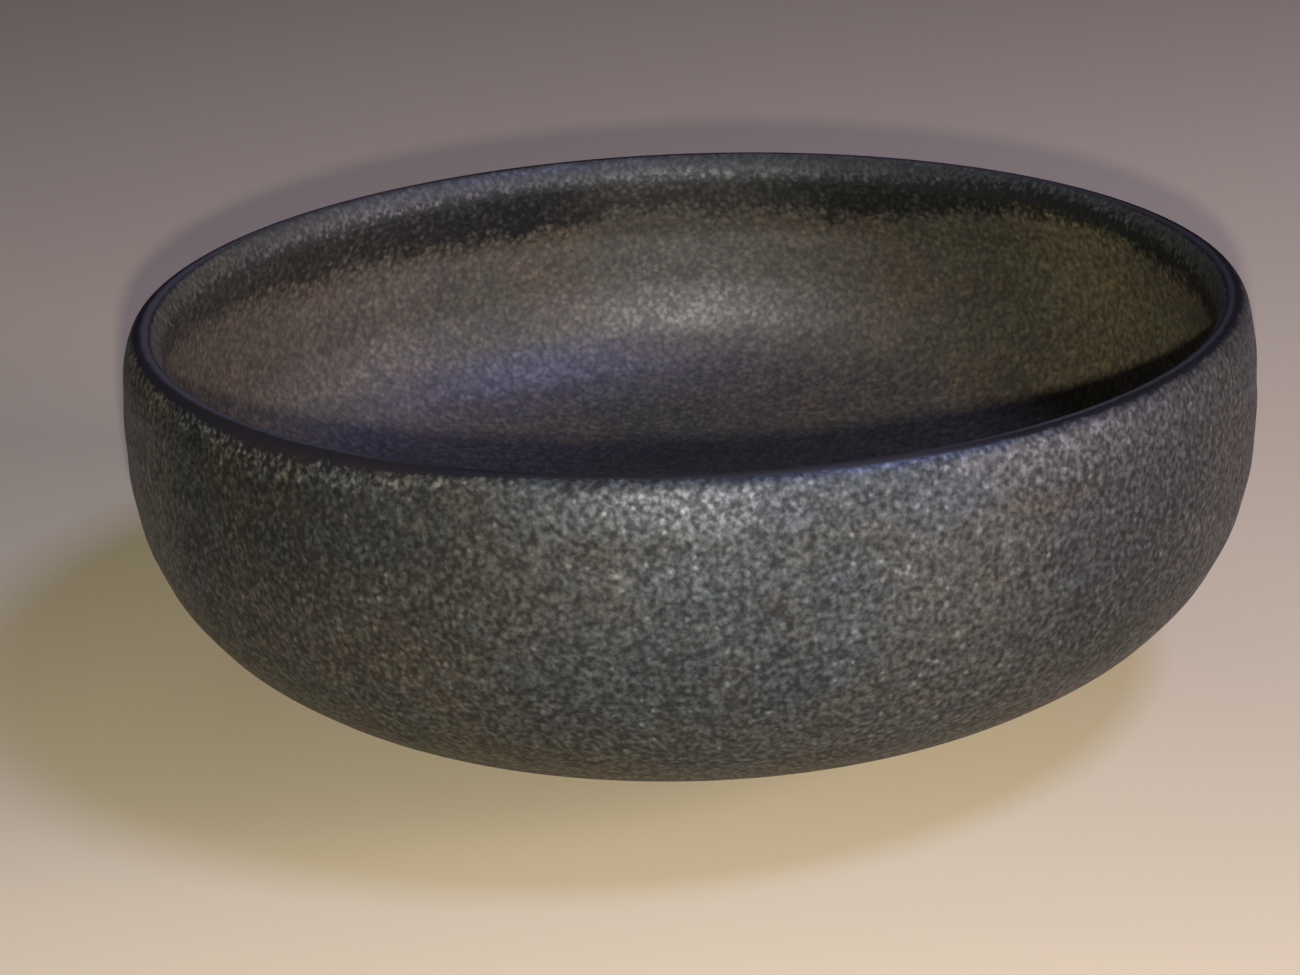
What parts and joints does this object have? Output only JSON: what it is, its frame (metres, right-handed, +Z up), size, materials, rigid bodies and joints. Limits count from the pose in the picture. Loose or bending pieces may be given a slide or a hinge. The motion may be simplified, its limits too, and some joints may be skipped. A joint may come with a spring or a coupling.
{
  "type": "tea bowl",
  "caption": "Wide, low round tea bowl with a full belly, a softly turned-in lip and a small turned foot ring, in dark speckled glaze.",
  "frame": {"origin": "centre of the ring on which the foot stands, at the bottom of the bowl", "axes": "+Z up along the bowl's axis; the bowl is round, so +X and +Y are free"},
  "size_m": [0.144, 0.144, 0.051],
  "materials": {
    "clay": "bare fired stoneware, matte and slightly gritty",
    "glaze_outside": "semi-matte dark glaze full of fine olive, tan and cream specks",
    "glaze_lip": "smooth, thin purple-black glaze that breaks paler on the crown",
    "glaze_inside": "semi-gloss brown-olive glaze with soft fine specks"
  },
  "bodies": {
    "root": {"clay_body": "clay", "foot_ring": "clay", "outer_glaze": "glaze_outside", "lip_glaze": "glaze_lip", "inner_glaze": "glaze_inside"}
  },
  "joints": []
}
